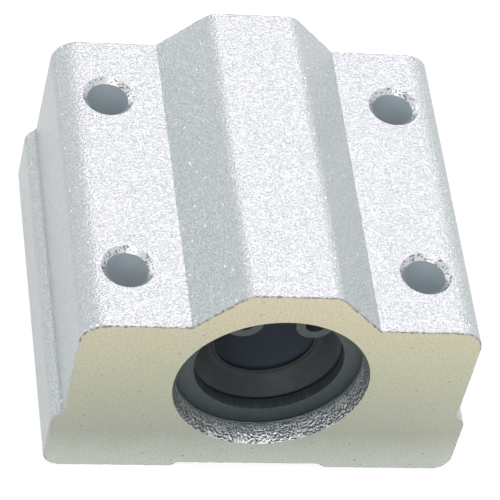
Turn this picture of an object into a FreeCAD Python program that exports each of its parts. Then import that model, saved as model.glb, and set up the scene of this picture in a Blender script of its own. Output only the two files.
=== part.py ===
import FreeCAD, Part
import itertools
import math
import os

# Linear bearing block for an 8 mm shaft, in millimetres.
# The origin is the centre of the base, +Z is up, +X is across the block and +Y is along the shaft.
# An extruded aluminium housing holds a ball bushing between two retaining rings.
# The bushing is a steel sleeve with a moulded ball cage, four closed ball circuits and two seals.

Vector = FreeCAD.Vector
ORIGIN = Vector(0, 0, 0)
ALONG = Vector(0, 1, 0)
UP = Vector(0, 0, 1)

# Housing outline, seen along the shaft
width = 34.0
height = 22.0
shoulder_height = 18.0
waist_height = 7.2
wing_height = 6.3
wing_step = 0.85
side_taper = 0.1
crown_width = 7.14
slope_base_width = 15.0
crown_radius = 0.3
shoulder_radius = 1.5
wing_radius = 1.3
foot_radius = 1.2
relief_width = 12.9
relief_depth = 0.45
relief_ramp = 0.6

# Housing length, bore and mounting holes
length = 30.0
axis_height = 11.0
bore_chamfer = 0.38
bore_chamfer_depth = 0.75
hole_spacing_across = 24.0
hole_spacing_along = 18.0
hole_diameter = 3.4
hole_chamfer = 0.4

# Ball bushing
shaft_diameter = 8.0
bushing_wall = 3.5
bushing_length = 24.0
snap_groove_depth = 0.35
snap_groove_width = 1.1
snap_groove_setback = 3.25
bushing_fit = 0.01

# Balls and their circuits
ball_diameter = 1.588
ball_gap = 0.04
balls_in_row = 6
circuits = 4
first_circuit_angle = 65.0
race_gap = 0.01
track_gap = 0.066

# Cage and seals
cage_shaft_gap = 0.25
cage_race_gap = 0.1
channel_floor = 0.17
seal_thickness = 1.65
seal_recess = 0.15
seal_dish = 1.4
seal_lip_gap = 0.02
fit_gap = 0.02

# Retaining rings for the bore, with an eccentric inner edge and two lugs for the pliers
ring_thickness = 1.0
ring_groove_depth = 0.35
ring_groove_width = 1.1
ring_groove_gap = 0.03
ring_back_width = 2.04
ring_front_width = 1.5
lug_spread = 5.7
lug_drop = 2.67
lug_radius = 1.55
lug_hole_diameter = 1.6
ring_mouth = 2.6

# Sizes worked out from the ones above
shaft_radius = shaft_diameter / 2
ball_radius = ball_diameter / 2
ball_pitch = ball_diameter + ball_gap
row_half = (balls_in_row - 1) / 2 * ball_pitch
turn_radius = ball_pitch
track_radius = ball_radius + track_gap
race_radius = shaft_radius + ball_diameter + race_gap
cage_bore_radius = shaft_radius + cage_shaft_gap
cage_radius = race_radius - cage_race_gap
floor_height = cage_bore_radius + channel_floor
loaded_radius = shaft_radius + ball_radius
loaded_height = math.sqrt(loaded_radius ** 2 - turn_radius ** 2)
return_height = floor_height + ball_radius + race_gap
relief_radius = math.hypot(turn_radius, return_height) + track_radius + track_gap
turn_ball_reach = turn_radius * math.sin(math.pi / 3)
land_half = row_half + turn_ball_reach - ball_radius - track_gap
bushing_radius = shaft_radius + bushing_wall
bushing_half = bushing_length / 2
seal_face = bushing_half - seal_recess
seal_inside = seal_face - seal_thickness
bore_radius = bushing_radius + bushing_fit
ring_groove_radius = bushing_radius + ring_groove_depth


def cylinder(radius, start, end):
    """Cylinder on the shaft's axis between two places along it, with the axis still at the origin."""
    return Part.makeCylinder(radius, end - start, Vector(0, start, 0), ALONG)


def turned(corners):
    """Solid turned about the shaft's axis from (radius, place along the axis) corners."""
    points = [Vector(radius, place, 0) for radius, place in corners]
    face = Part.Face(Part.makePolygon(points + points[:1]))
    return face.revolve(ORIGIN, ALONG, 360)


def both_ends(make):
    """The front piece, which mirrors the rear one, and the rear piece, made at the +Y end."""
    rear = make()
    return rear.mirror(ORIGIN, ALONG), rear


def raised(shape):
    """The shape lifted from the origin to the height of the bore's axis."""
    lifted = shape.copy()
    lifted.translate(Vector(0, 0, axis_height))
    return lifted


def rounded_outline(corners):
    """Closed wire in the XZ plane through (x, z, radius) corners, each rounded by its radius."""
    edges = []
    points = [Vector(x, 0, z) for x, z, radius in corners]
    starts = []
    ends = []
    arcs = []
    for i, (x, z, radius) in enumerate(corners):
        corner = points[i]
        back = (points[i - 1] - corner).normalize()
        ahead = (points[(i + 1) % len(points)] - corner).normalize()
        half_angle = back.getAngle(ahead) / 2
        reach = radius / math.tan(half_angle)
        starts.append(corner + back * reach)
        ends.append(corner + ahead * reach)
        middle = (back + ahead).normalize()
        arcs.append(corner + middle * (radius / math.sin(half_angle) - radius))
    for i, (x, z, radius) in enumerate(corners):
        if radius > 0:
            edges.append(Part.Arc(starts[i], arcs[i], ends[i]).toShape())
        edges.append(Part.LineSegment(ends[i], starts[(i + 1) % len(corners)]).toShape())
    return Part.Wire(edges)


def extrusion():
    """The aluminium profile: crown, sloped cheeks, shoulders, waisted sides, wings and relieved base."""
    wing_half = width / 2
    waist_half = wing_half - wing_step
    shoulder_half = waist_half - side_taper
    relief_half = relief_width / 2
    right = [
        (relief_half - relief_ramp, relief_depth, relief_depth),
        (relief_half, 0, relief_depth / 2),
        (wing_half, 0, foot_radius),
        (wing_half, wing_height, wing_radius),
        (waist_half, waist_height, 0),
        (shoulder_half, shoulder_height, shoulder_radius),
        (slope_base_width / 2, shoulder_height, 0),
        (crown_width / 2, height, crown_radius),
    ]
    left = [(-x, z, radius) for x, z, radius in reversed(right)]
    face = Part.Face(rounded_outline(right + left))
    face.translate(Vector(0, -length / 2, 0))
    return face.extrude(Vector(0, length, 0))


def bore_cut():
    """Bore for the bushing, with a ring groove past each end of the bushing and a bevelled mouth."""
    half = length / 2
    groove_start = bushing_half - fit_gap
    groove_end = groove_start + ring_groove_width
    mouth_radius = bore_radius + bore_chamfer
    half_corners = [
        (bore_radius, groove_start),
        (ring_groove_radius, groove_start),
        (ring_groove_radius, groove_end),
        (bore_radius, groove_end),
        (bore_radius, half - bore_chamfer_depth),
        (mouth_radius, half),
        (mouth_radius, half + bore_chamfer),
    ]
    front_corners = [(radius, -place) for radius, place in reversed(half_corners)]
    ends = [(0, half_corners[-1][1]), (0, -half_corners[-1][1])]
    return raised(turned(front_corners + half_corners + ends))


def mounting_hole():
    """Through hole with a small chamfer on the shoulder; its lower end is the thread's tapping size."""
    radius = hole_diameter / 2
    corners = [
        (0, 0),
        (radius, 0),
        (radius, shoulder_height - hole_chamfer),
        (radius + hole_chamfer, shoulder_height),
        (0, shoulder_height),
    ]
    points = [Vector(x, 0, z) for x, z in corners]
    face = Part.Face(Part.makePolygon(points + points[:1]))
    return face.revolve(ORIGIN, UP, 360)


def housing():
    block = extrusion().cut(bore_cut())
    for x in (-hole_spacing_across / 2, hole_spacing_across / 2):
        for y in (-hole_spacing_along / 2, hole_spacing_along / 2):
            hole = mounting_hole()
            hole.translate(Vector(x, y, 0))
            block = block.cut(hole)
    return block


def retaining_ring():
    """Internal retaining ring at the +Y end: an open ring that narrows towards its two drilled lugs."""
    base = Vector(0, bushing_half + fit_gap, 0)
    radius = ring_groove_radius - ring_groove_gap
    inner_radius = radius - (ring_back_width + ring_front_width) / 2
    inner_base = base + UP * ((ring_back_width - ring_front_width) / 2)
    disc = Part.makeCylinder(radius, ring_thickness, base, ALONG)
    ring = disc.cut(Part.makeCylinder(inner_radius, ring_thickness, inner_base, ALONG))
    lug_height = radius - lug_drop
    lug_bases = [base + Vector(x, 0, lug_height) for x in (-lug_spread / 2, lug_spread / 2)]
    for lug_base in lug_bases:
        lug = Part.makeCylinder(lug_radius, ring_thickness, lug_base, ALONG)
        ring = ring.fuse(lug.common(disc))
    mouth = Part.makeBox(ring_mouth, ring_thickness, radius * 2, base - Vector(ring_mouth / 2, 0, 0))
    ring = ring.cut(mouth)
    for lug_base in lug_bases:
        ring = ring.cut(Part.makeCylinder(lug_hole_diameter / 2, ring_thickness, lug_base, ALONG))
    return raised(ring.removeSplitter())


def circuit_angle(circuit):
    return first_circuit_angle + circuit * 360 / circuits


def on_circuit(shape, circuit):
    """A shape drawn for a circuit that faces +Z, turned to its own place and lifted to the axis."""
    turned_shape = shape.copy()
    turned_shape.rotate(ORIGIN, ALONG, circuit_angle(circuit))
    return raised(turned_shape)


def sleeve():
    """Hardened steel sleeve with two snap grooves outside, a race inside and a groove for each return row."""
    outer = bushing_radius
    floor = bushing_radius - snap_groove_depth
    groove_end = bushing_half - snap_groove_setback
    groove_start = groove_end - snap_groove_width
    rear_corners = [
        (outer, groove_start),
        (floor, groove_start),
        (floor, groove_end),
        (outer, groove_end),
        (outer, bushing_half),
        (relief_radius, bushing_half),
        (relief_radius, land_half),
        (race_radius, land_half),
    ]
    front_corners = [(radius, -place) for radius, place in reversed(rear_corners)]
    body = raised(turned(rear_corners + front_corners))
    groove_half = land_half + ball_radius
    groove_foot = Vector(turn_radius, -groove_half, return_height)
    groove = Part.makeCylinder(track_radius, 2 * groove_half, groove_foot, ALONG)
    for circuit in range(circuits):
        body = body.cut(on_circuit(groove, circuit))
    return body


def obround(radius, bottom, top):
    """Upright prism of a slot outline around one ball circuit, between two heights."""
    tall = top - bottom
    prism = Part.makeBox(2 * radius, 2 * row_half, tall, Vector(-radius, -row_half, bottom))
    for place in (-row_half, row_half):
        prism = prism.fuse(Part.makeCylinder(radius, tall, Vector(0, place, bottom), UP))
    return prism.removeSplitter()


def ball_channel():
    """Cut for one circuit: a race track channel, open outwards, and the slot that lets the loaded row
    through to the shaft."""
    outside = race_radius + ball_diameter
    channel = obround(turn_radius + track_radius, floor_height, outside)
    island = obround(turn_radius - track_radius, floor_height, outside)
    slot_half = row_half + track_radius
    start = Vector(-turn_radius, -slot_half, loaded_height)
    slot = Part.makeCylinder(track_radius, 2 * slot_half, start, ALONG)
    return channel.cut(island).fuse(slot)


def cage():
    """Moulded cage that guides four closed loops of balls and lets one row of each reach the shaft."""
    half = seal_inside - fit_gap
    body = raised(cylinder(cage_radius, -half, half).cut(cylinder(cage_bore_radius, -half, half)))
    channel = ball_channel()
    for circuit in range(circuits):
        body = body.cut(on_circuit(channel, circuit))
    return body


def ball():
    """A ball at the origin, drawn with twenty flat facets because the bushing holds so many of them."""
    golden = (1 + math.sqrt(5)) / 2
    corners = []
    for one in (-1, 1):
        for other in (-golden, golden):
            corners += [Vector(0, one, other), Vector(one, other, 0), Vector(other, 0, one)]
    scale = ball_radius / corners[0].Length
    faces = []
    for trio in itertools.combinations(corners, 3):
        sides = [(p - q).Length for p, q in itertools.combinations(trio, 2)]
        if max(sides) < golden * 1.5:
            points = [p * scale for p in trio]
            faces.append(Part.Face(Part.makePolygon(points + points[:1])))
    solid = Part.Solid(Part.Shell(faces))
    if solid.Volume < 0:
        solid.reverse()
    return solid


def ball_group(places, circuit):
    """Balls at places of one circuit, each still a separate solid."""
    balls = []
    for place in places:
        one = ball()
        one.translate(place)
        balls.append(on_circuit(one, circuit))
    return Part.Compound(balls)


def ball_groups():
    """Every circuit's loaded row, return row and the two turns that join them."""
    row = [(i - (balls_in_row - 1) / 2) * ball_pitch for i in range(balls_in_row)]
    loaded = [Vector(-turn_radius, place, loaded_height) for place in row]
    returning = [Vector(turn_radius, place, return_height) for place in row]
    turn_x = turn_radius * math.cos(math.pi / 3)
    turn_y = row_half + turn_ball_reach
    front = [Vector(x, -turn_y, return_height) for x in (-turn_x, turn_x)]
    rear = [Vector(x, turn_y, return_height) for x in (-turn_x, turn_x)]
    groups = {}
    for circuit in range(circuits):
        number = str(circuit + 1)
        groups["loaded_balls_" + number] = ball_group(loaded, circuit)
        groups["return_balls_" + number] = ball_group(returning, circuit)
        groups["front_turn_balls_" + number] = ball_group(front, circuit)
        groups["rear_turn_balls_" + number] = ball_group(rear, circuit)
    return groups


def end_seal():
    """Rubber seal at the +Y end, dished down to a thin lip round the shaft."""
    outer = relief_radius - fit_gap
    lip = shaft_radius + seal_lip_gap
    corners = [
        (lip, seal_inside),
        (outer, seal_inside),
        (outer, seal_face),
        (lip, seal_face - seal_dish),
    ]
    return raised(turned(corners))


def build():
    """Every node by name."""
    nodes = {"housing": housing(), "outer_sleeve": sleeve(), "ball_cage": cage()}
    for name, make in (("retaining_ring", retaining_ring), ("end_seal", end_seal)):
        front, rear = both_ends(make)
        nodes[name + "_front"] = front
        nodes[name + "_rear"] = rear
    nodes.update(ball_groups())
    return nodes


os.makedirs("parts", exist_ok=True)
for name, shape in build().items():
    shape.exportStep("parts/" + name + ".step")
    print(name, len(shape.Solids), round(shape.Volume, 3), shape.isValid())
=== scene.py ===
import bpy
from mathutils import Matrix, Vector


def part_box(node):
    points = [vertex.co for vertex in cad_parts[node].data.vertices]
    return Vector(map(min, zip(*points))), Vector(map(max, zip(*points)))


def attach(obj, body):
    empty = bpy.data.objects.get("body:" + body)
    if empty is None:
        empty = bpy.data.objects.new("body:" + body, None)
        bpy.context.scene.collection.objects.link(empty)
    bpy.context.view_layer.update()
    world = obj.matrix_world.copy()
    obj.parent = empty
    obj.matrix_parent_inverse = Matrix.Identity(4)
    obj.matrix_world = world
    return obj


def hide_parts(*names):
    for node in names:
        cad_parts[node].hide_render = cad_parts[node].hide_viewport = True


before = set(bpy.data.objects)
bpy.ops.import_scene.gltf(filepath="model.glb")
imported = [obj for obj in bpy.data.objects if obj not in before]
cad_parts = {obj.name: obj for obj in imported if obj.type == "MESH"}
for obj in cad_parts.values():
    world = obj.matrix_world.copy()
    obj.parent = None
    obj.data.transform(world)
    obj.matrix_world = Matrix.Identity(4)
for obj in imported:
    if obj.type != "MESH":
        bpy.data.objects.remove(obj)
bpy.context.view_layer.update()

import math

import bmesh
import bpy
from mathutils import Matrix, Vector

bl_info = {
    "name": "Linear bearing block",
    "version": (1, 0, 0),
    "blender": (4, 5, 0),
    "location": "View3D > Sidebar > Bearing block",
    "description": "Shapes and finishes the visible pieces of a linear bearing block around its packed frame",
    "category": "Object",
}

MM = 0.001
AXIS_Y = Vector((0, 1, 0))
AXIS_Z = Vector((0, 0, 1))
BODY = "root"

# Points nearer than TINY are merged, and places nearer than CLOSE count as the same.
TINY = 1e-7
CLOSE = 100 * TINY

# What a face's normal has along an axis where the face is square to it, all but square, faces that
# way, or leans that way.
SQUARE, ALL_BUT_SQUARE, FACING, LEANING = 0.99, 0.98, 0.9, 0.5

# A Mix node's colour sockets, by number because its other kinds use the same names.
MIX_A, MIX_B, MIX_RESULT = 6, 7, 2

# Only the flat face of a sawn end has more corners than this.
MANY_CORNERS = 50

# How often the edges round a sawn end that are longer than the burr's step are halved.
BURR_HALVINGS = 5

# Between a retaining ring and the outer wall of its groove, and the broken edges of a ring.
GROOVE_CLEARANCE = 0.06 * MM
RING_EDGE = 0.07 * MM

# The ball bushing: circuits, degrees to the first of them, and balls in a straight and in a turn.
CIRCUITS = 4
FIRST_CIRCUIT = 65
STRAIGHT_BALLS = 6
TURN_BALLS = 2

# The camera, fitted to the edges, holes and bore in the photograph: millimetres and degrees.
CAMERA_PLACE = (-53.0885, -161.6374, 201.5577)
CAMERA_TURN = (40.5397, -10.13892, -6.63223)

housing_low, housing_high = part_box("housing")
ring_low, ring_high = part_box("retaining_ring_rear")
seal_low, seal_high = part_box("end_seal_rear")


def linear(hex_code):
    """An sRGB hex colour as linear red, green, blue and alpha."""
    channels = [int(hex_code[i:i + 2], 16) / 255 for i in (0, 2, 4)]
    return [c / 12.92 if c <= 0.04045 else ((c + 0.055) / 1.055) ** 2.4 for c in channels] + [1.0]


def distance(name, description, millimetres):
    """A length setting with its default in millimetres."""
    return bpy.props.FloatProperty(
        name=name, description=description, default=millimetres * MM,
        min=0, precision=6, unit="LENGTH", subtype="DISTANCE",
    )


def colour(name, description, hex_code):
    """A colour setting with its default as an sRGB hex value."""
    return bpy.props.FloatVectorProperty(
        name=name, description=description, default=linear(hex_code),
        size=4, min=0, max=1, subtype="COLOR",
    )


def level(name, description, value):
    """A setting from 0, black, to 1, white."""
    return bpy.props.FloatProperty(
        name=name, description=description, default=value, min=0, max=1, subtype="FACTOR",
    )


def power(name, description, watts):
    """A lamp's power setting with its default in watts."""
    return bpy.props.FloatProperty(name=name, description=description, default=watts, min=0, unit="POWER")


class BlockSizes(bpy.types.PropertyGroup):
    """Sizes of the housing and of what is held in its bore"""

    width: distance("Width", "Over the two wings", (housing_high.x - housing_low.x) / MM)
    length: distance("Length", "Along the shaft", (housing_high.y - housing_low.y) / MM)
    height: distance("Height", "From the feet to the crown", housing_high.z / MM)
    shoulder_height: distance("Shoulder height", "From the feet to the drilled shoulders", 18.0)
    waist_height: distance("Waist height", "Where the wings' slopes meet the sides", 7.2)
    wing_height: distance("Wing height", "Where the wings' upright edges end", 6.3)
    wing_step: distance("Wing step", "How far the wings stand out at the waist", 0.85)
    side_taper: distance("Side taper", "How far the sides lean in up to the shoulders", 0.1)
    crown_width: distance("Crown width", "Across the flat crown", 7.14)
    slope_base_width: distance("Slope base width", "Across the foot of the crown's slopes", 15.0)
    crown_radius: distance("Crown radius", "Rounding of the crown's edges", 1.3)
    shoulder_radius: distance("Shoulder radius", "Rounding of the shoulders' outer edges", 2.1)
    wing_radius: distance("Wing radius", "Rounding of the wings' upper edges", 1.3)
    foot_radius: distance("Foot radius", "Rounding of the lower edges", 1.5)
    relief_width: distance("Relief width", "Across the shallow relief in the base", 12.9)
    relief_depth: distance("Relief depth", "Depth of the relief in the base", 0.45)
    relief_ramp: distance("Relief ramp", "Width of the ramp at each side of the relief", 0.6)
    burr: distance("Burr", "Broken edge round each sawn end", 0.11)
    burr_step: distance("Burr step", "Length of the burr's longest straight bit", 0.42)
    axis_height: distance("Axis height", "Height of the shaft's axis", 11.0)
    bore_radius: distance("Bore radius", "Radius of the bore for the bushing", 7.51)
    bore_chamfer: distance("Bore chamfer", "Width of the bevel at the bore's mouth", 0.38)
    bore_chamfer_depth: distance("Bore chamfer depth", "How deep the bevel at the mouth goes", 0.75)
    hole_spacing_across: distance("Hole spacing across", "Between the two rows of holes", 24.0)
    hole_spacing_along: distance("Hole spacing along", "Between the holes of a row", 18.0)
    hole_radius: distance("Hole radius", "Radius of the through holes", 1.7)
    hole_chamfer: distance("Hole chamfer", "Bevel at each hole's rim", 0.42)
    ring_radius: distance("Ring radius", "Outside of the retaining rings", 7.82)
    ring_groove_radius: distance("Ring groove radius", "Floor of the grooves for the rings", 7.85)
    ring_groove_width: distance("Ring groove width", "Width of the grooves for the rings", 1.1)
    ring_inner_radius: distance("Ring inner radius", "Inner edge of the retaining rings", 6.05)
    ring_offset: distance("Ring offset", "How far the inner edge sits above the axis", 0.27)
    ring_mouth: distance("Ring mouth", "Gap between the ends of a ring", 2.6)
    lug_spread: distance("Lug spread", "Between the two holes for the pliers", 5.7)
    lug_height: distance("Lug height", "Holes for the pliers above the axis", 5.15)
    lug_radius: distance("Lug radius", "Rounding of each lug", 1.55)
    lug_hole_radius: distance("Lug hole radius", "Radius of the holes for the pliers", 0.8)
    lip_radius: distance("Lip radius", "Inner edge of the seals", 4.02)
    seal_dish: distance("Seal dish", "How far the lip sits behind the seal's rim", 1.4)
    ball_radius: distance("Ball radius", "Radius of the balls", 0.794)
    ball_gap: distance("Ball gap", "Between one ball and the next", 0.04)
    shaft_radius: distance("Shaft radius", "Radius of the shaft that the block takes", 4.0)
    return_height: distance("Return height", "Height of the returning balls above the axis", 5.224)


class BlockColours(bpy.types.PropertyGroup):
    """Colours of the finishes"""

    anodised: colour("Anodised", "Blasted and clear anodised skin", "BEC7C6")
    anodised_light: colour("Anodised light", "Lighter grains of the blasted skin", "D4DCDD")
    # Painted glint: white specks on the blasted skin and on the torn points near the bore's mouth, as painted
    # highlights.
    painted_glint: colour("Glint", "Grains that face the light, and torn points in the bore", "FFFFFF")
    # The faced ends' colours grade up the height as painted light: paler at the feet, and a painted warm
    # reflection at the crown.
    faced_warm_painted_reflection: colour("Faced warm", "Faced ends at the crown", "E9E1C1")
    faced_middle: colour("Faced middle", "Faced ends beside the bore", "D0D3B7")
    faced_cool: colour("Faced cool", "Faced ends above the feet", "BCC0B1")
    faced_pale_painted_light: colour("Faced pale", "Faced ends at the feet", "D6DFD5")
    fleck: colour("Fleck", "Small dark flecks in the faced ends", "85867C")
    burr_painted_shade: colour("Burr dark", "Shaded side of the sawn burr", "86817A")
    bored: colour("Bored", "Turned wall of the bore", "88999E")
    mouth: colour("Mouth", "Chattered bevel at the bore's mouth", "EDEEF0")
    mouth_dark: colour("Mouth dark", "Hollows of the chattered bevel", "CCD1D3")
    countersunk: colour("Countersunk", "Bevelled rims of the holes", "E6E7E9")
    countersunk_dark: colour("Countersunk dark", "Torn specks in the holes' rims", "84888B")
    # The drilled walls are painted paler further down, as painted light.
    drilled: colour("Drilled", "Walls of the drilled holes, at the rim", "D4E0E6")
    drilled_deep_painted_light: colour("Drilled deep", "Walls of the drilled holes, further down", "F2FAFB")
    phosphate: colour("Phosphate", "Dark phosphate of the retaining rings", "444E4C")
    phosphate_oiled: colour("Phosphate oiled", "Oily mottling of the retaining rings", "586462")
    # Painted light: the rings' edges are painted lighter than the phosphate, to lift the shade on their inner
    # edges.
    ring_edge_painted_light: colour("Sheared", "Rubbed edges of the retaining rings", "7C878A")
    rubber: colour("Rubber", "Moulded rubber of the seals", "242E31")
    rubber_bloom: colour("Rubber bloom", "Soft bloom on the seals", "2D383A")
    # Painted light: both resin colours are painted lighter than blue-black, against the shade inside the
    # bore.
    resin: colour("Resin", "Moulded resin of the ball cage", "6A7683")
    resin_flow: colour("Resin flow", "Paler streaks where the resin flowed", "76828F")
    hardened: colour("Hardened", "Ground steel of the sleeve", "9B9EA1")
    hardened_light: colour("Hardened light", "Brighter lines in the ground steel", "B4B7BA")
    ball_steel: colour("Ball steel", "Polished steel of the balls", "C9CBCE")
    ball_grease: colour("Ball grease", "Film of grease on the balls", "B5B0A2")


class BlockStage(bpy.types.PropertyGroup):
    """Floor, light and camera"""

    board: colour("Board", "Pale board under the block", "B4B4B4")
    board_light: colour("Board light", "Faintly lighter clouds in the board", "B8B8B8")
    board_mirrored: level("Board mirrored", "Glow of the board in metal", 0.71)
    board_seen: level("Board seen", "Glow of the board in view, which makes it white", 0.8)
    backdrop: colour("Backdrop", "Background beyond the board", "FFFFFF")
    backdrop_mirrored: level("Backdrop mirrored", "Level of the background in metal", 0.8)
    backdrop_seen: level("Backdrop seen", "Level of the background in view", 1.0)
    daylight: level("Daylight", "Level of the even light from all round", 0.224)
    softbox_power: power("Softbox", "Power of the large lamp above and behind", 23.0)
    softbox_colour: colour("Softbox colour", "Faint lilac of the large lamp", "FFEBF8")
    top_power: power("Top lamp", "Power of the lamp nearly overhead, which lights the bore's mouth", 2.6)
    fill_power: power("Fill", "Power of the lamp in front", 7.0)
    left_power: power("Left lamp", "Power of the low lamp behind at the left", 3.0)
    right_power: power("Right lamp", "Power of the low lamp behind at the right", 3.4)
    small_power: power("Small lamp", "Power of the small lamp behind, which picks out the grain", 0.16)
    lens: bpy.props.FloatProperty(
        name="Lens", description="Focal length of the camera, on a 36 mm sensor", default=223.97 * MM,
        precision=5, unit="LENGTH", subtype="DISTANCE_CAMERA",
    )


def select_only(piece):
    """Leaves edit mode, if need be, and selects one object alone."""
    if bpy.context.object and bpy.context.object.mode != "OBJECT":
        bpy.ops.object.mode_set(mode="OBJECT")
    bpy.ops.object.select_all(action="DESELECT")
    piece.select_set(True)
    bpy.context.view_layer.objects.active = piece


def start_piece(name, add_primitive, **settings):
    """Adds a primitive, names it, puts its place into its mesh and opens it for editing."""
    bpy.ops.object.select_all(action="DESELECT")
    add_primitive(**settings)
    piece = bpy.context.object
    piece.name = name
    piece.data.name = name
    bpy.ops.object.transform_apply(location=True, rotation=True, scale=True)
    bpy.ops.object.mode_set(mode="EDIT")
    bpy.ops.mesh.select_mode(type="VERT")
    bpy.ops.mesh.select_all(action="SELECT")
    return piece


def select_parts(piece, kind, test):
    """Selects, in edit mode, only the faces, edges or vertices that pass the test."""
    bpy.ops.mesh.select_mode(type=kind)
    bpy.ops.mesh.select_all(action="DESELECT")
    mesh = bmesh.from_edit_mesh(piece.data)
    parts = {"FACE": mesh.faces, "EDGE": mesh.edges, "VERT": mesh.verts}[kind]
    for part in parts:
        part.select_set(bool(test(part)))
    mesh.select_flush_mode()
    bmesh.update_edit_mesh(piece.data)


def round_edges(piece, x, z, radius, segments):
    """Rounds the lengthwise edges at (x, z) and (-x, z) to a radius."""
    def lengthwise(edge):
        first, second = (vert.co for vert in edge.verts)
        return abs(first.x - second.x) < CLOSE and all(
            abs(abs(point.x) - x) < CLOSE and abs(point.z - z) < CLOSE for point in (first, second)
        )

    select_parts(piece, "EDGE", lengthwise)
    mesh = bmesh.from_edit_mesh(piece.data)
    edge = next(edge for edge in mesh.edges if edge.select)
    turn = edge.link_faces[0].normal.angle(edge.link_faces[1].normal)
    bpy.ops.mesh.bevel(
        offset_type="OFFSET", offset=radius * math.tan(turn / 2), segments=segments, profile=0.5,
        affect="EDGES", clamp_overlap=False,
    )


def turned(name, rings, sides, through, axis=AXIS_Y, closed=False):
    """A turned solid: a circle extruded through rings of (radius, place along the axis).

    Its ends are flat, or where it is closed, its last ring meets its first.
    """
    upright = axis == AXIS_Z
    radius, place = rings[0]
    piece = start_piece(
        name, bpy.ops.mesh.primitive_circle_add,
        vertices=sides, radius=radius, fill_type="NOTHING" if closed else "NGON",
        location=through + axis * place, rotation=(0, 0, 0) if upright else (-math.pi / 2, 0, 0),
    )
    for next_radius, next_place in rings[1:]:
        move = {"value": axis * (next_place - place)}
        bpy.ops.mesh.extrude_region_move(TRANSFORM_OT_translate=move)
        grow = next_radius / radius
        bpy.ops.transform.resize(
            value=(grow, grow, 1) if upright else (grow, 1, grow),
            center_override=through + axis * next_place,
        )
        radius, place = next_radius, next_place
    bpy.ops.mesh.select_all(action="SELECT")
    if closed:
        bpy.ops.mesh.remove_doubles(threshold=TINY)
    bpy.ops.mesh.normals_make_consistent(inside=False)
    bpy.ops.object.mode_set(mode="OBJECT")
    return piece


def bar(name, radius, start, end, sides, through):
    """A plain round bar along the shaft's direction."""
    return turned(name, [(radius, start), (radius, end)], sides, through)


def apply_modifier(piece, kind, **settings):
    """Adds a modifier with its settings and applies it."""
    select_only(piece)
    bpy.ops.object.modifier_add(type=kind)
    step = piece.modifiers[-1]
    for name, value in settings.items():
        setattr(step, name, value)
    bpy.ops.object.modifier_apply(modifier=step.name)


def cut(piece, cutter):
    """Cuts another closed solid out of the piece and removes that solid."""
    apply_modifier(piece, "BOOLEAN", operation="DIFFERENCE", solver="EXACT", object=cutter)
    bpy.data.objects.remove(cutter)


def smooth(piece, angle=35):
    """Smooth shading up to an angle in degrees, with flat faces kept flat beside their rounded edges."""
    select_only(piece)
    bpy.ops.object.shade_smooth_by_angle(angle=math.radians(angle))
    apply_modifier(piece, "WEIGHTED_NORMAL", keep_sharp=True)


def dress(piece, *finishes):
    """Gives a piece its finishes, in the order of its material slots."""
    piece.data.materials.clear()
    for finish in finishes:
        piece.data.materials.append(finish)


def settle(piece, slot, *nodes):
    """The finished piece rides with the block and stands for its CAD nodes."""
    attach(piece, BODY)
    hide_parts(*nodes)


def link(tree, node, outputs):
    """Links each output to the node's input of that name or number."""
    for key, output in outputs.items():
        tree.links.new(output, node.inputs[key])


def add_node(tree, kind, values=None, links=None, **settings):
    """Adds a shader node with its settings, its input values and its links."""
    node = tree.nodes.new(kind)
    for name, value in settings.items():
        setattr(node, name, value)
    for key, value in (values or {}).items():
        node.inputs[key].default_value = value
    link(tree, node, links or {})
    return node


def new_material(name):
    """An empty material; returns it, its tree and its Object coordinates."""
    material = bpy.data.materials.new(name)
    material.use_nodes = True
    tree = material.node_tree
    tree.nodes.clear()
    return material, tree, add_node(tree, "ShaderNodeTexCoord").outputs["Object"]


def new_finish(name, **sockets):
    """A material with one shader, whose sockets take the values given; returns its shader as well."""
    finish, tree, place = new_material(name)
    shader = add_node(tree, "ShaderNodeBsdfPrincipled", sockets)
    add_node(tree, "ShaderNodeOutputMaterial", links={"Surface": shader.outputs["BSDF"]})
    return finish, tree, shader, place


def follow(tree, shader, pattern, shades=None, between=(0, 1), rough=None, metal=None, relief=None):
    """Makes what is given of a finish follow a pattern, which is a node's first output.

    Its colour goes from one shade to the other, and its roughness and metallic from one level to the
    other, between two of the pattern's values. Its relief is a bump's strength and depth in millimetres.
    """
    pattern = pattern.outputs[0]
    values = {"From Min": between[0], "From Max": between[1]}
    if shades:
        share = add_node(tree, "ShaderNodeMapRange", values, {"Value": pattern})
        shade = add_node(
            tree, "ShaderNodeMix", {MIX_A: shades[0], MIX_B: shades[1]}, {"Factor": share.outputs["Result"]},
            data_type="RGBA",
        )
        link(tree, shader, {"Base Color": shade.outputs[MIX_RESULT]})
    for socket, levels in (("Roughness", rough), ("Metallic", metal)):
        if levels:
            span = {**values, "To Min": levels[0], "To Max": levels[1]}
            mapped = add_node(tree, "ShaderNodeMapRange", span, {"Value": pattern})
            link(tree, shader, {socket: mapped.outputs["Result"]})
    if relief:
        depth = {"Strength": relief[0], "Distance": relief[1] * MM}
        bump = add_node(tree, "ShaderNodeBump", depth, {"Height": pattern})
        link(tree, shader, {"Normal": bump.outputs["Normal"]})


def repeats(millimetres):
    """The scale of a pattern whose marks are this size."""
    return 1 / (millimetres * MM)


def tool_lines(tree, place, sizes):
    """Lines as a tool leaves them: a noise drawn out, from the size of its marks along x, y and z."""
    drawn_out = add_node(
        tree, "ShaderNodeMapping", {"Scale": [repeats(size) for size in sizes]}, {"Vector": place},
    )
    return add_node(
        tree, "ShaderNodeTexNoise", {"Scale": 1.0, "Detail": 3.0}, {"Vector": drawn_out.outputs["Vector"]},
    )


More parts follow.
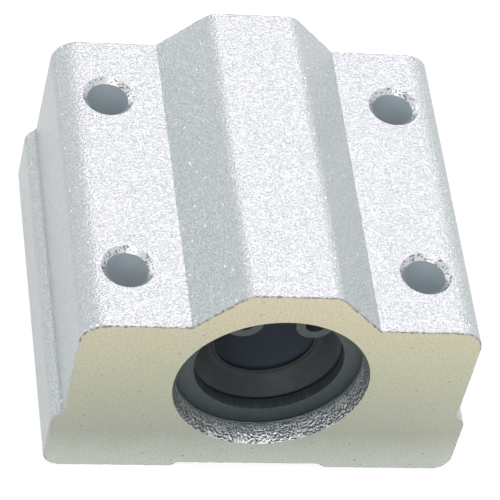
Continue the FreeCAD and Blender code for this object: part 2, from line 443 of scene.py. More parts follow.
def specks(tree, place, spacing, left_out, largest):
    """Round specks of mixed sizes, one to a cell, with a share of the cells left out."""
    cells = add_node(tree, "ShaderNodeTexVoronoi", {"Scale": repeats(spacing)}, {"Vector": place})
    chance = add_node(tree, "ShaderNodeSeparateColor", links={"Color": cells.outputs["Color"]})
    radius = add_node(
        tree, "ShaderNodeMapRange", {"From Min": left_out, "To Max": largest},
        {"Value": chance.outputs["Red"]},
    )
    return add_node(
        tree, "ShaderNodeMath", links={0: cells.outputs["Distance"], 1: radius.outputs["Result"]},
        operation="LESS_THAN",
    )


def blasted_anodised_aluminium(colours):
    """Blasted and clear anodised aluminium: a fine silvery grain, with painted glints as white specks at
    random.
    """
    # Blasting leaves marks of 0.05 to 0.1 mm, which are drawn as coarse as they need to show.
    grit = 0.16
    finish, tree, shader, place = new_finish("blasted_anodised_aluminium")
    grain = add_node(
        tree, "ShaderNodeTexNoise", {"Scale": repeats(grit), "Detail": 1.0, "Roughness": 0.6},
        {"Vector": place},
    )
    clump = add_node(
        tree, "ShaderNodeTexNoise", {"Scale": repeats(grit * 2.6), "Detail": 2.0}, {"Vector": place},
    )
    height = add_node(
        tree, "ShaderNodeMath", {1: 0.15}, {0: clump.outputs["Fac"], 2: grain.outputs["Fac"]},
        operation="MULTIPLY_ADD",
    )
    tint = add_node(
        tree, "ShaderNodeMapRange", {"From Min": 0.4, "From Max": 0.6}, {"Value": grain.outputs["Fac"]},
    )
    shade = add_node(
        tree, "ShaderNodeMix", {MIX_A: colours.anodised, MIX_B: colours.anodised_light},
        {"Factor": tint.outputs["Result"]}, data_type="RGBA",
    )
    # A painted glint: a white, fully metallic speck in a third of the cells, standing for one grain's glint,
    # drawn as large as it needs to show.
    painted_glint = specks(tree, place, 0.45, left_out=0.66, largest=0.25)
    bright = add_node(
        tree, "ShaderNodeMix", {MIX_B: colours.painted_glint},
        {"Factor": painted_glint.outputs[0], MIX_A: shade.outputs[MIX_RESULT]}, data_type="RGBA",
    )
    link(tree, shader, {"Base Color": bright.outputs[MIX_RESULT]})
    follow(tree, shader, painted_glint, metal=(0.6, 1.0))
    follow(tree, shader, clump, between=(0.35, 0.65), rough=(0.38, 0.29))
    follow(tree, shader, height, relief=(1.0, grit * 0.6))
    return finish


def faced_aluminium(colours, sizes):
    """Sawn and faced aluminium, clear anodised: satin, with a painted warm reflection near the crown, painted
    paler at the feet, and tiny dark flecks.
    """
    finish, tree, shader, place = new_finish("faced_aluminium", Metallic=0.7)
    split = add_node(tree, "ShaderNodeSeparateXYZ", links={"Vector": place})
    cloud = add_node(tree, "ShaderNodeTexNoise", {"Scale": repeats(2.5), "Detail": 4.0}, {"Vector": place})
    drift = add_node(
        tree, "ShaderNodeMath", {1: 2 * MM}, {0: cloud.outputs["Fac"], 2: split.outputs["Z"]},
        operation="MULTIPLY_ADD",
    )
    rise = add_node(tree, "ShaderNodeMapRange", {"From Max": sizes.height}, {"Value": drift.outputs[0]})
    # Painted light up the height: paler at the feet against the shade near the floor, and a painted warm
    # reflection at the crown.
    shade = add_node(tree, "ShaderNodeValToRGB", links={"Fac": rise.outputs["Result"]})
    ramp = shade.color_ramp.elements
    ramp[0].position, ramp[0].color = 0.08, colours.faced_pale_painted_light
    ramp[1].position, ramp[1].color = 1.0, colours.faced_warm_painted_reflection
    ramp.new(0.26).color = colours.faced_cool
    ramp.new(0.62).color = colours.faced_middle
    fleck = specks(tree, place, 0.8, left_out=0.5, largest=0.16)
    fine = add_node(tree, "ShaderNodeTexNoise", {"Scale": repeats(0.2), "Detail": 3.0}, {"Vector": place})
    mottle = add_node(
        tree, "ShaderNodeMapRange", {"From Min": 0.35, "From Max": 0.65, "To Max": 0.24},
        {"Value": fine.outputs["Fac"]},
    )
    dulled = add_node(
        tree, "ShaderNodeMath", {1: 0.4}, {0: fleck.outputs[0], 2: mottle.outputs["Result"]},
        operation="MULTIPLY_ADD",
    )
    marked = add_node(
        tree, "ShaderNodeMix", {MIX_B: colours.fleck},
        {"Factor": dulled.outputs[0], MIX_A: shade.outputs["Color"]}, data_type="RGBA",
    )
    link(tree, shader, {"Base Color": marked.outputs[MIX_RESULT]})
    follow(tree, shader, fine, rough=(0.34, 0.5), relief=(0.25, 0.02))
    return finish


def sawn_burr(colours):
    """Broken edge left by the saw: a thin ragged line, with painted shade in its hollows and bright on its
    crests.
    """
    finish, tree, shader, place = new_finish("sawn_burr", Metallic=0.85, Roughness=0.4)
    tear = add_node(
        tree, "ShaderNodeTexNoise", {"Scale": repeats(0.3), "Detail": 4.0, "Roughness": 0.7},
        {"Vector": place},
    )
    # Painted shade: the burr's hollows are painted dark.
    follow(tree, shader, tear, (colours.burr_painted_shade, colours.anodised), between=(0.44, 0.56))
    follow(tree, shader, tear, relief=(1.0, 0.08))
    return finish


def bored_aluminium(colours):
    """Turned wall of the bore: grey, ringed by the boring tool, with torn points near its mouth painted white
    as painted highlights.
    """
    finish, tree, shader, place = new_finish("bored_aluminium")
    # The tool's rings are about 0.05 mm apart, and are drawn coarser, to show.
    feed = tool_lines(tree, place, (1.2, 0.12, 1.2))
    tear = add_node(tree, "ShaderNodeTexNoise", {"Scale": repeats(0.16), "Detail": 2.0}, {"Vector": place})
    height = add_node(
        tree, "ShaderNodeMath", {1: 0.6}, {0: feed.outputs["Fac"], 2: tear.outputs["Fac"]},
        operation="MULTIPLY_ADD",
    )
    points = add_node(
        tree, "ShaderNodeMapRange", {"From Min": 0.79, "From Max": 0.86}, {"Value": height.outputs[0]},
    )
    split = add_node(tree, "ShaderNodeSeparateXYZ", links={"Vector": place})
    from_middle = add_node(tree, "ShaderNodeMath", links={0: split.outputs["Y"]}, operation="ABSOLUTE")
    near_mouth = add_node(
        tree, "ShaderNodeMapRange", {"From Min": ring_high.y, "From Max": ring_high.y + 0.7 * MM},
        {"Value": from_middle.outputs[0]},
    )
    # Painted highlights: the torn points are painted white, and only near the mouth, where light comes in.
    torn = add_node(
        tree, "ShaderNodeMath", links={0: points.outputs["Result"], 1: near_mouth.outputs["Result"]},
        operation="MULTIPLY",
    )
    follow(tree, shader, torn, (colours.bored, colours.painted_glint), metal=(0.35, 0.9))
    follow(tree, shader, tear, rough=(0.4, 0.22))
    follow(tree, shader, height, relief=(1.0, 0.2))
    return finish


def chattered_aluminium(colours):
    """Bevel cut by a chattering tool: torn and bright, so it glitters in points."""
    finish, tree, shader, place = new_finish("chattered_aluminium", Metallic=0.9)
    tear = add_node(
        tree, "ShaderNodeTexNoise", {"Scale": repeats(0.15), "Detail": 1.5, "Roughness": 0.6},
        {"Vector": place},
    )
    chips = add_node(tree, "ShaderNodeTexVoronoi", {"Scale": repeats(0.24)}, {"Vector": place})
    height = add_node(
        tree, "ShaderNodeMath", {1: 0.8}, {0: chips.outputs["Distance"], 2: tear.outputs["Fac"]},
        operation="MULTIPLY_ADD",
    )
    follow(tree, shader, tear, (colours.mouth_dark, colours.mouth), between=(0.3, 0.5))
    follow(tree, shader, tear, rough=(0.3, 0.18))
    follow(tree, shader, height, relief=(1.0, 0.065))
    return finish


def countersunk_aluminium(colours):
    """Bevel of a hole's rim, cut through the skin: bright and smooth, with a few torn specks."""
    finish, tree, shader, place = new_finish("countersunk_aluminium", Metallic=1.0, Roughness=0.3)
    tear = add_node(tree, "ShaderNodeTexNoise", {"Scale": repeats(0.2), "Detail": 2.0}, {"Vector": place})
    follow(
        tree, shader, tear, (colours.countersunk_dark, colours.countersunk),
        between=(0.38, 0.46), relief=(0.8, 0.04),
    )
    return finish


def drilled_aluminium(colours, sizes):
    """Walls of the drilled holes: bluish grey and satin, painted paler with depth as painted light, faintly
    ringed by the drill.
    """
    finish, tree, shader, place = new_finish("drilled_aluminium", Metallic=0.1)
    # The drill's rings are about 0.1 mm apart, and are drawn coarser, to show.
    feed = tool_lines(tree, place, (1.5, 1.5, 0.25))
    split = add_node(tree, "ShaderNodeSeparateXYZ", links={"Vector": place})
    drift = add_node(
        tree, "ShaderNodeMath", {1: MM}, {0: feed.outputs["Fac"], 2: split.outputs["Z"]},
        operation="MULTIPLY_ADD",
    )
    # Painted light: the walls are painted paler further down, as if lit through the holes' lower ends.
    depth = add_node(
        tree, "ShaderNodeMapRange",
        {"From Min": sizes.shoulder_height, "From Max": sizes.shoulder_height - 2 * sizes.hole_radius},
        {"Value": drift.outputs[0]},
    )
    follow(tree, shader, depth, (colours.drilled, colours.drilled_deep_painted_light))
    follow(tree, shader, feed, rough=(0.25, 0.4), relief=(0.3, 0.02))
    return finish


def phosphated_spring_steel(colours):
    """Stamped spring steel under dark phosphate: a dull green-grey with faint oily mottling."""
    finish, tree, shader, place = new_finish("phosphated_spring_steel", Metallic=0.35)
    # The crystals are under 0.05 mm, so the clouds of oil in them are drawn instead.
    clouds = add_node(tree, "ShaderNodeTexNoise", {"Scale": repeats(0.35), "Detail": 4.0}, {"Vector": place})
    follow(
        tree, shader, clouds, (colours.phosphate, colours.phosphate_oiled),
        rough=(0.55, 0.35), relief=(0.35, 0.02),
    )
    return finish


def sheared_spring_steel(colours):
    """Edges of the stamped rings: painted greyer and lighter than the faces as painted light on their shaded
    inner edges, with fine lines across from the die.
    """
    finish, tree, shader, place = new_finish("sheared_spring_steel", Metallic=0.5, Roughness=0.42)
    # The die's lines are finer, and are drawn coarser, to show.
    lines = tool_lines(tree, place, (0.15, 1.5, 0.15))
    # The die's lines mix the phosphate with the edges' painted light.
    follow(tree, shader, lines, (colours.phosphate, colours.ring_edge_painted_light), relief=(0.2, 0.02))
    return finish


def moulded_rubber(colours):
    """Moulded black rubber: nearly matte, with a soft bloom."""
    finish, tree, shader, place = new_finish("moulded_rubber")
    bloom = add_node(tree, "ShaderNodeTexNoise", {"Scale": repeats(0.8), "Detail": 4.0}, {"Vector": place})
    # The mould's grain is finer, and is drawn coarser, to show.
    grain = add_node(tree, "ShaderNodeTexNoise", {"Scale": repeats(0.12), "Detail": 2.0}, {"Vector": place})
    follow(tree, shader, bloom, (colours.rubber, colours.rubber_bloom), rough=(0.62, 0.42))
    follow(tree, shader, grain, relief=(0.3, 0.01))
    return finish


def moulded_resin(colours):
    """Moulded bearing resin: blue-black and satin, with a faint flow pattern, both its colours painted
    lighter as painted light against the shade inside the bore.
    """
    finish, tree, shader, place = new_finish("moulded_resin")
    flow = add_node(
        tree, "ShaderNodeTexNoise", {"Scale": repeats(1.2), "Detail": 3.0, "Distortion": 1.5},
        {"Vector": place},
    )
    # Both shades are painted lighter than the resin's own blue-black, as painted light.
    follow(tree, shader, flow, (colours.resin, colours.resin_flow), rough=(0.3, 0.48), relief=(0.2, 0.02))
    return finish


def ground_bearing_steel(colours):
    """Hardened steel ground round its outside: bright grey with very fine rings."""
    finish, tree, shader, place = new_finish("ground_bearing_steel", Metallic=1.0)
    # Grinding leaves lines of about 0.01 mm, which are drawn coarser, to show.
    lines = tool_lines(tree, place, (3.0, 0.08, 3.0))
    follow(tree, shader, lines, (colours.hardened, colours.hardened_light), rough=(0.22, 0.36))
    return finish


def polished_bearing_steel(colours):
    """Lapped steel balls: mirror bright, under a thin film of grease that dulls them in patches."""
    finish, tree, shader, place = new_finish("polished_bearing_steel", Metallic=1.0)
    film = add_node(tree, "ShaderNodeTexNoise", {"Scale": repeats(0.7), "Detail": 2.0}, {"Vector": place})
    follow(tree, shader, film, (colours.ball_steel, colours.ball_grease))
    follow(tree, shader, film, between=(0.4, 0.7), rough=(0.06, 0.25))
    return finish


def select_strip(block, way, lines, reach):
    """Cuts the faces that look up, 1, or down, -1, at each x, and selects those near the middle."""
    for x in lines:
        select_parts(block, "FACE", lambda face: face.normal.z * way > FACING)
        bpy.ops.mesh.bisect(plane_co=(x, 0, 0), plane_no=(1, 0, 0), threshold=TINY)
    select_parts(
        block, "FACE",
        lambda face: face.normal.z * way > FACING and abs(face.calc_center_median().x) < reach,
    )


def shape_profile(sizes):
    """The aluminium profile: a block drawn in above its wings, with a crown above and a relief below."""
    half = sizes.width / 2
    block = start_piece(
        "bearing_housing", bpy.ops.mesh.primitive_cube_add,
        size=1, location=(0, 0, sizes.shoulder_height / 2),
        scale=(sizes.width, sizes.length - 2 * sizes.burr, sizes.shoulder_height),
    )
    for height in (sizes.wing_height, sizes.waist_height):
        bpy.ops.mesh.select_all(action="SELECT")
        bpy.ops.mesh.bisect(plane_co=(0, 0, height), plane_no=(0, 0, 1), threshold=TINY)
    waist = half - sizes.wing_step
    shoulder = waist - sizes.side_taper
    for height, reach in ((sizes.waist_height, waist), (sizes.shoulder_height, shoulder)):
        select_parts(block, "VERT", lambda vert: abs(vert.co.z - height) < CLOSE)
        bpy.ops.transform.resize(value=(reach / half, 1, 1), center_override=(0, 0, height))

    slope_base = sizes.slope_base_width / 2
    select_strip(block, 1, (-slope_base, slope_base), slope_base)
    rise = sizes.height - sizes.shoulder_height
    bpy.ops.mesh.extrude_region_move(TRANSFORM_OT_translate={"value": (0, 0, rise)})
    bpy.ops.transform.resize(
        value=(sizes.crown_width / sizes.slope_base_width, 1, 1), center_override=(0, 0, sizes.height),
    )

    relief = sizes.relief_width / 2
    floor = relief - sizes.relief_ramp
    select_strip(block, -1, (-relief, -floor, floor, relief), floor / 2)
    bpy.ops.transform.translate(value=(0, 0, sizes.relief_depth))

    select_parts(block, "FACE", lambda face: abs(face.normal.y) > SQUARE)
    bpy.ops.mesh.dissolve_faces()
    round_edges(block, sizes.crown_width / 2, sizes.height, sizes.crown_radius, segments=8)
    round_edges(block, shoulder, sizes.shoulder_height, sizes.shoulder_radius, segments=8)
    round_edges(block, half, sizes.wing_height, sizes.wing_radius, segments=6)
    round_edges(block, half, 0, sizes.foot_radius, segments=8)
    round_edges(block, relief, 0, sizes.relief_depth / 2, segments=3)
    round_edges(block, floor, sizes.relief_depth, sizes.relief_depth, segments=4)
    return block


def break_end_edges(block, sizes):
    """Carries both ends out to their full length, with a narrow ragged edge all round, as the saw left it."""
    place = sizes.length / 2 - sizes.burr

    def sawn_end(face):
        return len(face.verts) > MANY_CORNERS and abs(face.normal.y) > FACING

    for side in (-1, 1):
        for _ in range(BURR_HALVINGS):
            select_parts(block, "EDGE", lambda edge: edge.calc_length() > sizes.burr_step and all(
                abs(vert.co.y - side * place) < CLOSE for vert in edge.verts
            ))
            bpy.ops.mesh.subdivide(number_cuts=1)

    select_parts(block, "FACE", lambda face: abs(face.normal.y) > SQUARE)
    # Two steps go in across the end and out along the block, each by shares of the burr, and each
    # then has its edge shaken and its end made flat again.
    for across, out, ragged, seed in ((0.3, 0.7, 0.25, 1), (0.7, 0.3, 0.6, 2)):
        bpy.ops.mesh.inset(thickness=sizes.burr * across, depth=sizes.burr * out)
        place += sizes.burr * out
        bpy.ops.transform.vertex_random(offset=sizes.burr * ragged, uniform=1, seed=seed)
        for side in (-1, 1):
            select_parts(block, "FACE", lambda face: sawn_end(face) and face.normal.y * side > 0)
            bpy.ops.transform.resize(value=(1, 0, 1), center_override=(0, side * place, 0))
        select_parts(block, "FACE", sawn_end)
    bpy.ops.object.mode_set(mode="OBJECT")


def bore_cutter(sizes):
    """The bore with a groove for each retaining ring and a bevelled mouth at each end."""
    half = sizes.length / 2
    groove_end = ring_high.y + GROOVE_CLEARANCE
    groove_start = groove_end - sizes.ring_groove_width
    mouth = sizes.bore_radius + sizes.bore_chamfer
    rear = [
        (sizes.bore_radius, groove_start),
        (sizes.ring_groove_radius, groove_start),
        (sizes.ring_groove_radius, groove_end),
        (sizes.bore_radius, groove_end),
        (sizes.bore_radius, half - sizes.bore_chamfer_depth),
        (mouth, half),
        (mouth, half + MM),
    ]
    front = [(radius, -place) for radius, place in reversed(rear)]
    return turned("bore_cutter", front + rear, 160, AXIS_Z * sizes.axis_height)


def hole_cutter(sizes, x, y):
    """One mounting hole with its bevelled rim."""
    rim = sizes.hole_radius + sizes.hole_chamfer
    rings = [
        (sizes.hole_radius, -MM),
        (sizes.hole_radius, sizes.shoulder_height - sizes.hole_chamfer),
        (rim, sizes.shoulder_height),
        (rim, sizes.shoulder_height + MM),
    ]
    return turned("hole_cutter", rings, 64, Vector((x, y, 0)), AXIS_Z)


def housing_finish(face, sizes):
    """Which surface a face of the housing belongs to, from its place and normal."""
    centre, normal = face.center, face.normal
    end = sizes.length / 2
    from_axis = math.hypot(centre.x, centre.z - sizes.axis_height)
    from_hole = math.hypot(
        abs(centre.x) - sizes.hole_spacing_across / 2, abs(centre.y) - sizes.hole_spacing_along / 2,
    )
    on_flank = sizes.foot_radius < centre.z < sizes.shoulder_height - sizes.shoulder_radius
    if abs(normal.y) > SQUARE and abs(abs(centre.y) - end) < CLOSE:
        return "faced"
    if from_axis < sizes.bore_radius + sizes.bore_chamfer and abs(centre.y) > end - sizes.bore_chamfer_depth:
        return "chattered"
    if from_axis < sizes.ring_groove_radius + sizes.burr:
        return "bored"
    if abs(centre.y) > end - sizes.burr and not on_flank:
        return "burr"
    if from_hole < sizes.hole_radius + CLOSE and abs(normal.z) < LEANING:
        return "drilled"
    if from_hole < sizes.hole_radius + sizes.hole_chamfer and normal.z < ALL_BUT_SQUARE:
        return "countersunk"
    return "blasted"


class BEARING_OT_housing(bpy.types.Operator):
    """Shapes the extruded housing, bores and drills it, and gives each surface its finish"""

    bl_idname = "bearing.housing"
    bl_label = "Housing"

    def execute(self, context):
        sizes = context.scene.bearing_sizes
        block = shape_profile(sizes)
        break_end_edges(block, sizes)
        cut(block, bore_cutter(sizes))
        for x in (-sizes.hole_spacing_across / 2, sizes.hole_spacing_across / 2):
            for y in (-sizes.hole_spacing_along / 2, sizes.hole_spacing_along / 2):
                cut(block, hole_cutter(sizes, x, y))
        colours = context.scene.bearing_colours
        finishes = {
            "blasted": blasted_anodised_aluminium(colours),
            "faced": faced_aluminium(colours, sizes),
            "burr": sawn_burr(colours),
            "bored": bored_aluminium(colours),
            "chattered": chattered_aluminium(colours),
            "countersunk": countersunk_aluminium(colours),
            "drilled": drilled_aluminium(colours, sizes),
        }
        dress(block, *finishes.values())
        order = list(finishes)
        for face in block.data.polygons:
            face.material_index = order.index(housing_finish(face, sizes))
        smooth(block)
        settle(block, "extruded_aluminium", "housing")
        return {"FINISHED"}


def shape_retaining_ring(name, sizes, start):
    """An open ring with an eccentric inner edge, two rounded lugs and their holes for the pliers."""
    thickness = ring_high.y - ring_low.y
    end = start + thickness
    axis_place = AXIS_Z * sizes.axis_height
    inner_place = axis_place + AXIS_Z * sizes.ring_offset
    lug_places = [axis_place + Vector((side * sizes.lug_spread / 2, 0, sizes.lug_height)) for side in (-1, 1)]
    ring = bar(name, sizes.ring_radius, start, end, 128, axis_place)
    window = bar("window", sizes.ring_inner_radius, start - MM, end + MM, 128, inner_place)
    for place in lug_places:
        cut(window, bar("lug", sizes.lug_radius, start - 2 * MM, end + 2 * MM, 48, place))
    cut(ring, window)
    mouth = start_piece(
        "mouth", bpy.ops.mesh.primitive_cube_add,
        size=1, location=axis_place + Vector((0, (start + end) / 2, sizes.ring_radius)),
        scale=(sizes.ring_mouth, thickness * 2, sizes.ring_radius * 2),
    )
    bpy.ops.object.mode_set(mode="OBJECT")
    cut(ring, mouth)
    for place in lug_places:
        cut(ring, bar("hole", sizes.lug_hole_radius, start - MM, end + MM, 40, place))
    apply_modifier(
        ring, "BEVEL", width=RING_EDGE, segments=2, limit_method="ANGLE", angle_limit=math.radians(50),
    )
    return ring


class BEARING_OT_retaining_rings(bpy.types.Operator):
    """Shapes the stamped retaining ring at each end of the bushing"""

    bl_idname = "bearing.retaining_rings"
    bl_label = "Retaining rings"

    def execute(self, context):
        sizes = context.scene.bearing_sizes
        colours = context.scene.bearing_colours
        finishes = (phosphated_spring_steel(colours), sheared_spring_steel(colours))
        for end, start in (("front", -ring_high.y), ("rear", ring_low.y)):
            ring = shape_retaining_ring("snap_ring_" + end, sizes, start)
            dress(ring, *finishes)
            for face in ring.data.polygons:
                face.material_index = 0 if abs(face.normal.y) > LEANING else 1
            smooth(ring)
            settle(ring, "phosphated_spring_steel", "retaining_ring_" + end)
        return {"FINISHED"}


def shape_end_seal(name, sizes, side):
    """A moulded seal: a flat rim, a dished face and a thin beaded lip round the shaft."""
    outer, face, inside = seal_high.x, seal_high.y, seal_low.y
    lip, dish = sizes.lip_radius, sizes.seal_dish
    profile = [
        (outer, inside),
        # The rim, with its outer edge broken.
        (outer, face - 0.1 * MM),
        (outer - 0.1 * MM, face),
        (outer - 0.45 * MM, face),
        (outer - 0.6 * MM, face - 0.08 * MM),
        # The dished face, down to the groove round the lip.
        (outer - 1.1 * MM, face - dish * 0.42),
        (lip + 0.75 * MM, face - dish * 0.72),
        (lip + 0.42 * MM, face - dish * 0.97),
        (lip + 0.3 * MM, face - dish * 0.99),
        # The lip's bead, and its edge on the shaft.
        (lip + 0.2 * MM, face - dish * 0.93),
        (lip + 0.08 * MM, face - dish * 0.94),
        (lip, face - dish * 0.99),
        (lip, inside + 0.04 * MM),
        (lip + 0.04 * MM, inside),
        (outer, inside),
    ]
    rings = [(radius, side * place) for radius, place in profile]
    return turned(name, rings, 128, AXIS_Z * sizes.axis_height, closed=True)


class BEARING_OT_end_seals(bpy.types.Operator):
    """Shapes the moulded rubber seal at each end of the bushing"""

    bl_idname = "bearing.end_seals"
    bl_label = "End seals"

    def execute(self, context):
        sizes = context.scene.bearing_sizes
        finish = moulded_rubber(context.scene.bearing_colours)
        for end, side in (("front", -1), ("rear", 1)):
            seal = shape_end_seal("rubber_seal_" + end, sizes, side)
            dress(seal, finish)
            smooth(seal, 50)
            settle(seal, "black_rubber", "end_seal_" + end)
        return {"FINISHED"}


def shape_ball(name, radius, place):
    """A ball, still open for editing: a cube divided and pushed out to a sphere."""
    ball = start_piece(name, bpy.ops.mesh.primitive_cube_add, size=2 * radius, location=(0, 0, 0))
    bpy.ops.mesh.subdivide(number_cuts=5)
    bpy.ops.transform.tosphere(value=1)
    bpy.ops.mesh.select_all(action="SELECT")
    verts = bmesh.from_edit_mesh(ball.data).verts
    verts.ensure_lookup_table()
    grow = radius / verts[0].co.length
    bpy.ops.transform.resize(value=(grow, grow, grow), center_override=(0, 0, 0))
    bpy.ops.transform.translate(value=place)
    return ball


class BEARING_OT_balls(bpy.types.Operator):
    """Shapes the four closed circuits of round balls"""

    bl_idname = "bearing.balls"
    bl_label = "Balls"

    def execute(self, context):
        sizes = context.scene.bearing_sizes
        finish = polished_bearing_steel(context.scene.bearing_colours)
        pitch = 2 * sizes.ball_radius + sizes.ball_gap
        loaded_height = math.sqrt((sizes.shaft_radius + sizes.ball_radius) ** 2 - pitch ** 2)
        row_half = (STRAIGHT_BALLS - 1) / 2 * pitch
        # Round a turn the balls stand a pitch apart, at 60 degrees to the straight.
        turn_place = row_half + pitch * math.sin(math.pi / 3)
        along, across = AXIS_Y * pitch, Vector((pitch, 0, 0))
        rows = {
            "loaded_balls_": ((-pitch, -row_half, loaded_height), along, STRAIGHT_BALLS),
            "return_balls_": ((pitch, -row_half, sizes.return_height), along, STRAIGHT_BALLS),
            "front_turn_balls_": ((-pitch / 2, -turn_place, sizes.return_height), across, TURN_BALLS),
            "rear_turn_balls_": ((-pitch / 2, turn_place, sizes.return_height), across, TURN_BALLS),
        }
        to_axis = Matrix.Translation(AXIS_Z * sizes.axis_height)
        for node, (first, step, count) in rows.items():
            for circuit in range(CIRCUITS):
                row = shape_ball("round_" + node + str(circuit + 1), sizes.ball_radius, first)
                for _ in range(count - 1):
                    bpy.ops.mesh.duplicate_move(TRANSFORM_OT_translate={"value": step})
                bpy.ops.object.mode_set(mode="OBJECT")
                angle = math.radians(FIRST_CIRCUIT + 360 / CIRCUITS * circuit)
                row.matrix_world = to_axis @ Matrix.Rotation(angle, 4, "Y")
                bpy.ops.object.transform_apply(location=True, rotation=True, scale=True)
                dress(row, finish)
                bpy.ops.object.shade_smooth()
                settle(row, "polished_steel", node + str(circuit + 1))
        return {"FINISHED"}


class BEARING_OT_bushing(bpy.types.Operator):
    """Gives the sleeve and the ball cage of the bushing their finishes"""

    bl_idname = "bearing.bushing"
    bl_label = "Sleeve and cage"

    def execute(self, context):
        colours = context.scene.bearing_colours
        finishes = {"outer_sleeve": ground_bearing_steel(colours), "ball_cage": moulded_resin(colours)}
        for node, finish in finishes.items():
            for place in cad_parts[node].material_slots:
                place.material = finish
        return {"FINISHED"}


def background_level(tree, lighting, mirrored, seen):
    """The level of a background, which is one as it lights the block, one in metal, and one in view."""
    path = add_node(tree, "ShaderNodeLightPath")
    mirror = add_node(
        tree, "ShaderNodeMath",
        links={0: path.outputs["Is Glossy Ray"], 1: path.outputs["Is Transmission Ray"]}, operation="MAXIMUM",
    )
    unseen = add_node(
        tree, "ShaderNodeMapRange", {"To Min": lighting, "To Max": mirrored}, {"Value": mirror.outputs[0]},
    )
    strength = add_node(
        tree, "ShaderNodeMapRange", {"To Max": seen},
        {"Value": path.outputs["Is Camera Ray"], "To Min": unseen.outputs["Result"]},
    )
    return strength.outputs["Result"]


def pale_floor(stage):
    """Matt white board: shows as white all round and keeps a soft shadow under the block."""
    board, tree, place = new_material("pale_floor")
    clouds = add_node(tree, "ShaderNodeTexNoise", {"Scale": repeats(4), "Detail": 3.0}, {"Vector": place})
    shade = add_node(
        tree, "ShaderNodeMix", {MIX_A: stage.board, MIX_B: stage.board_light},
        {"Factor": clouds.outputs["Fac"]}, data_type="RGBA",
    )
    matt = add_node(tree, "ShaderNodeBsdfDiffuse", links={"Color": shade.outputs[MIX_RESULT]})
    strength = background_level(tree, 0.0, stage.board_mirrored, stage.board_seen)
    glow = add_node(tree, "ShaderNodeEmission", links={"Strength": strength})
    both = add_node(tree, "ShaderNodeAddShader", links={0: matt.outputs["BSDF"], 1: glow.outputs["Emission"]})
    add_node(tree, "ShaderNodeOutputMaterial", links={"Surface": both.outputs["Shader"]})
    return board


def light_world(stage):
    """Even daylight from all round, under a white background."""
    world = bpy.data.worlds.new("even_daylight")
    world.use_nodes = True
    tree = world.node_tree
    tree.nodes.clear()
    strength = background_level(tree, stage.daylight, stage.backdrop_mirrored, stage.backdrop_seen)
    sky = add_node(tree, "ShaderNodeBackground", {"Color": stage.backdrop}, {"Strength": strength})
    add_node(tree, "ShaderNodeOutputWorld", links={"Surface": sky.outputs["Background"]})
    return world


def add_lamp(name, side, watts, place, target):
    """A square soft lamp, of a side in metres, that faces a point."""
    direction = target - Vector(place)
    turn = direction.to_track_quat("-Z", "Y").to_euler()
    bpy.ops.object.light_add(type="AREA", location=place, rotation=turn)
    lamp = bpy.context.object
    lamp.name = name
    lamp.data.shape = "SQUARE"
    lamp.data.size = side
    lamp.data.energy = watts
    return lamp.data


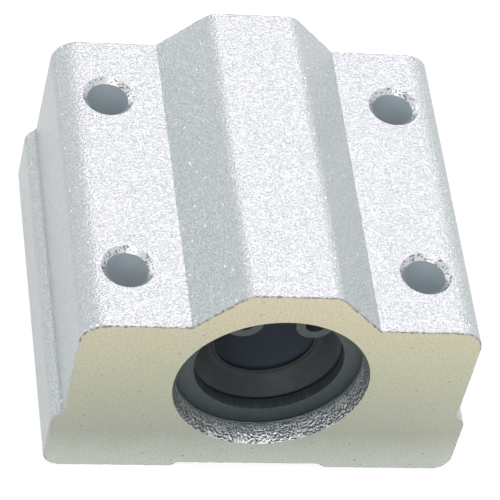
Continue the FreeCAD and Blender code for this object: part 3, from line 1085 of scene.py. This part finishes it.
class BEARING_OT_stage(bpy.types.Operator):
    """Sets the pale floor, the soft light and the camera at the photograph's angle"""

    bl_idname = "bearing.stage"
    bl_label = "Stage"

    def execute(self, context):
        stage = context.scene.bearing_stage
        floor = start_piece(
            "pale_floor", bpy.ops.mesh.primitive_circle_add,
            vertices=64, radius=0.6, fill_type="NGON", location=(0, 0, 0),
        )
        bpy.ops.mesh.inset(thickness=0.4)
        bpy.ops.object.mode_set(mode="OBJECT")
        dress(floor, pale_floor(stage))

        middle = AXIS_Z * context.scene.bearing_sizes.axis_height
        softbox = add_lamp("softbox", 2.0, stage.softbox_power, (0.15, 1.0, 1.9), middle)
        softbox.color = stage.softbox_colour[:3]
        add_lamp("top_lamp", 0.5, stage.top_power, (0.38, -0.4, 1.75), middle)
        add_lamp("fill_lamp", 1.0, stage.fill_power, (-0.6, -1.65, 0.95), middle)
        add_lamp("side_lamp_left", 1.0, stage.left_power, (-1.5, 1.26, 0.5), middle)
        add_lamp("side_lamp_right", 1.0, stage.right_power, (1.5, 1.26, 0.7), middle)
        add_lamp("small_lamp", 0.1, stage.small_power, (0.1005, 0.29, 0.4055), middle)
        context.scene.world = light_world(stage)

        bpy.ops.object.camera_add(
            location=Vector(CAMERA_PLACE) * MM, rotation=[math.radians(angle) for angle in CAMERA_TURN],
        )
        camera = context.object
        camera.name = "photo_camera"
        camera.data.sensor_width = 36
        camera.data.lens = stage.lens / MM
        camera.data.clip_start = 10 * MM
        context.scene.camera = camera
        context.scene.view_settings.view_transform = "Standard"
        return {"FINISHED"}


class BEARING_PT_sidebar(bpy.types.Panel):
    """Sizes, colours and pieces of the bearing block"""

    bl_idname = "BEARING_PT_sidebar"
    bl_label = "Bearing block"
    bl_space_type = "VIEW_3D"
    bl_region_type = "UI"
    bl_category = "Bearing block"

    def draw(self, context):
        for piece in OPERATORS:
            self.layout.operator(piece.bl_idname)
        scene = context.scene
        for group in (scene.bearing_sizes, scene.bearing_colours, scene.bearing_stage):
            box = self.layout.box()
            for name in group.__annotations__:
                box.prop(group, name)


OPERATORS = (
    BEARING_OT_housing,
    BEARING_OT_retaining_rings,
    BEARING_OT_end_seals,
    BEARING_OT_balls,
    BEARING_OT_bushing,
    BEARING_OT_stage,
)
CLASSES = (BlockSizes, BlockColours, BlockStage) + OPERATORS + (BEARING_PT_sidebar,)


def register():
    for item in CLASSES:
        bpy.utils.register_class(item)
    bpy.types.Scene.bearing_sizes = bpy.props.PointerProperty(type=BlockSizes)
    bpy.types.Scene.bearing_colours = bpy.props.PointerProperty(type=BlockColours)
    bpy.types.Scene.bearing_stage = bpy.props.PointerProperty(type=BlockStage)


def unregister():
    del bpy.types.Scene.bearing_stage
    del bpy.types.Scene.bearing_colours
    del bpy.types.Scene.bearing_sizes
    for item in reversed(CLASSES):
        bpy.utils.unregister_class(item)


def main():
    register()
    bpy.ops.object.select_all(action="DESELECT")
    bpy.ops.bearing.housing()
    bpy.ops.bearing.retaining_rings()
    bpy.ops.bearing.end_seals()
    bpy.ops.bearing.balls()
    bpy.ops.bearing.bushing()
    bpy.ops.bearing.stage()


if __name__ == "__main__":
    main()
